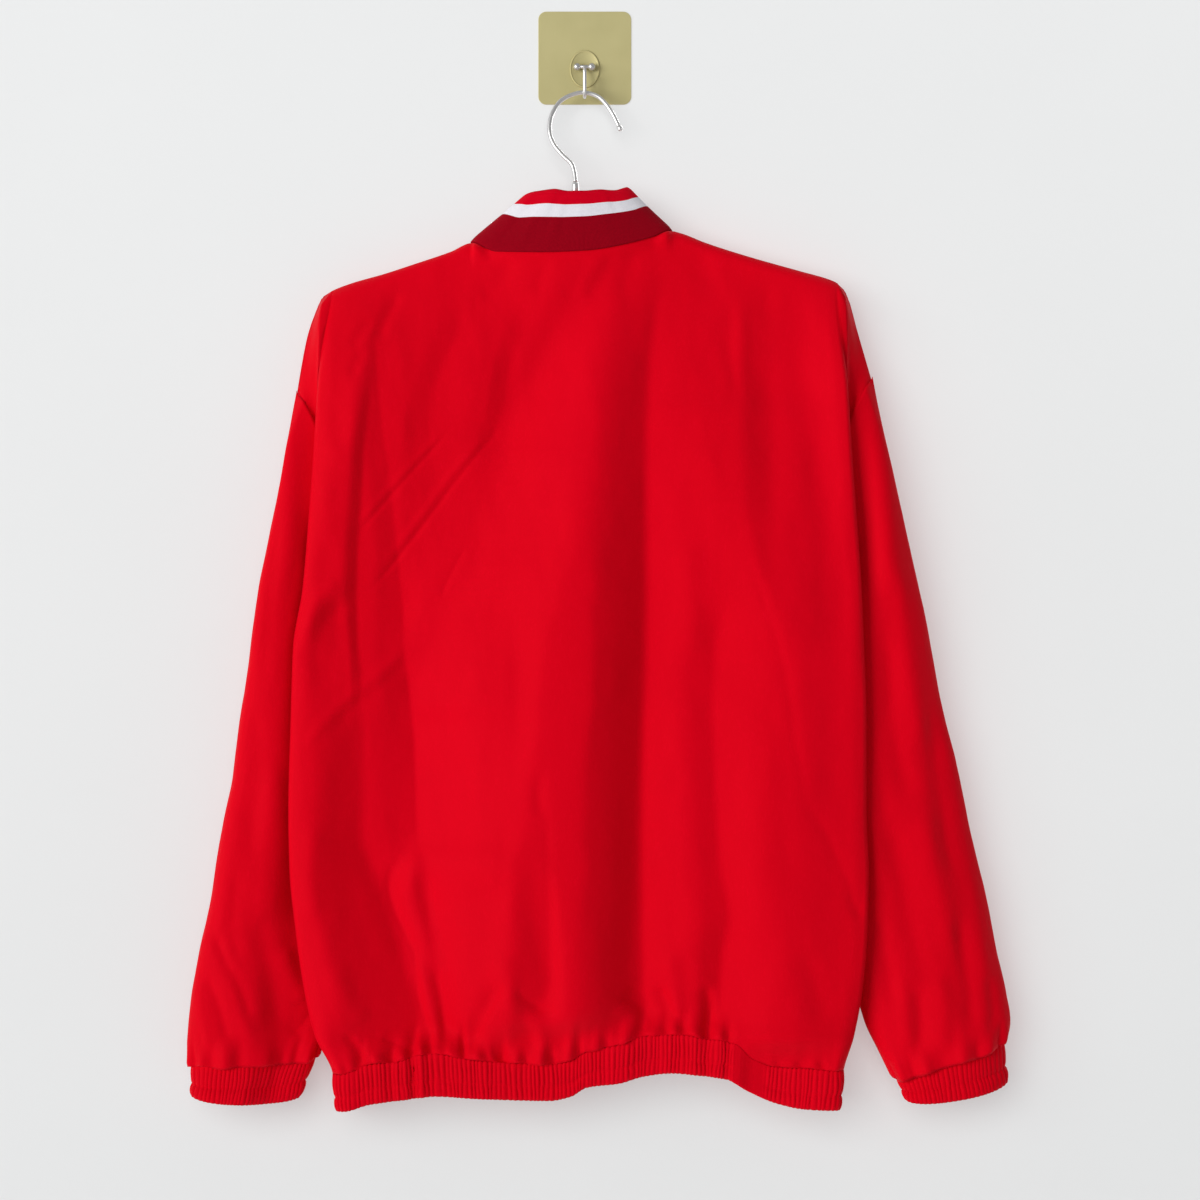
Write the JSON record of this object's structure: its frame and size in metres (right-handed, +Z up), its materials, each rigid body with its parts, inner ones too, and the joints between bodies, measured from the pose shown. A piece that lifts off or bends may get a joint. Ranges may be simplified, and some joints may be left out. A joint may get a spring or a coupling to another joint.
{
  "type": "windbreaker on a hanger with its wall hook",
  "caption": "Light zipped windbreaker with a striped knit stand collar, elastic hem and cuffs, hanging back outwards on a hanger from a small plate hook on a wall.",
  "frame": {"origin": "middle of the wall plate's flat back, which is fixed to the wall", "axes": "+Z up; +Y into the wall, out of the plate's back; +X to the right as one faces the wall, which is the wearer's right, because the garment hangs with its back outwards"},
  "size_m": [0.7, 0.0864, 0.9453],
  "materials": {
    "shell": "thin woven microfibre with a soft sheen",
    "rib_knit": "fine rib knit with a pale stripe",
    "zip_tape": "woven tape with a plastic coil",
    "zip_metal": "plated cast metal",
    "hanger_body": "lacquered",
    "steel": "polished wire",
    "plate": "pale gold satin"
  },
  "bodies": {
    "garment_and_hanger": {"back": "shell", "front_left": "shell", "front_right": "shell", "sleeve_left": "shell", "sleeve_left_lower": "shell", "sleeve_right": "shell", "sleeve_right_lower": "shell", "cuff_left": "shell", "cuff_right": "shell", "hem_band": "shell", "collar": "rib_knit", "zip": "zip_tape", "zip_slider": "zip_metal", "hanger": "hanger_body", "hanger_hook": "steel", "ferrule": "steel", "wall_plate": "plate", "hook_boss": "plate", "wall_hook": "steel"},
    "pull_tab": {"zip_pull": "zip_metal"}
  },
  "joints": [
    {"name": "pull_tab_swing", "type": "hinge", "parent": "garment_and_hanger", "child": "pull_tab", "pos_m": [-0.009, -0.02155, -0.193], "axis": [1, 0, 0], "range_deg": [0, 165]}
  ]
}
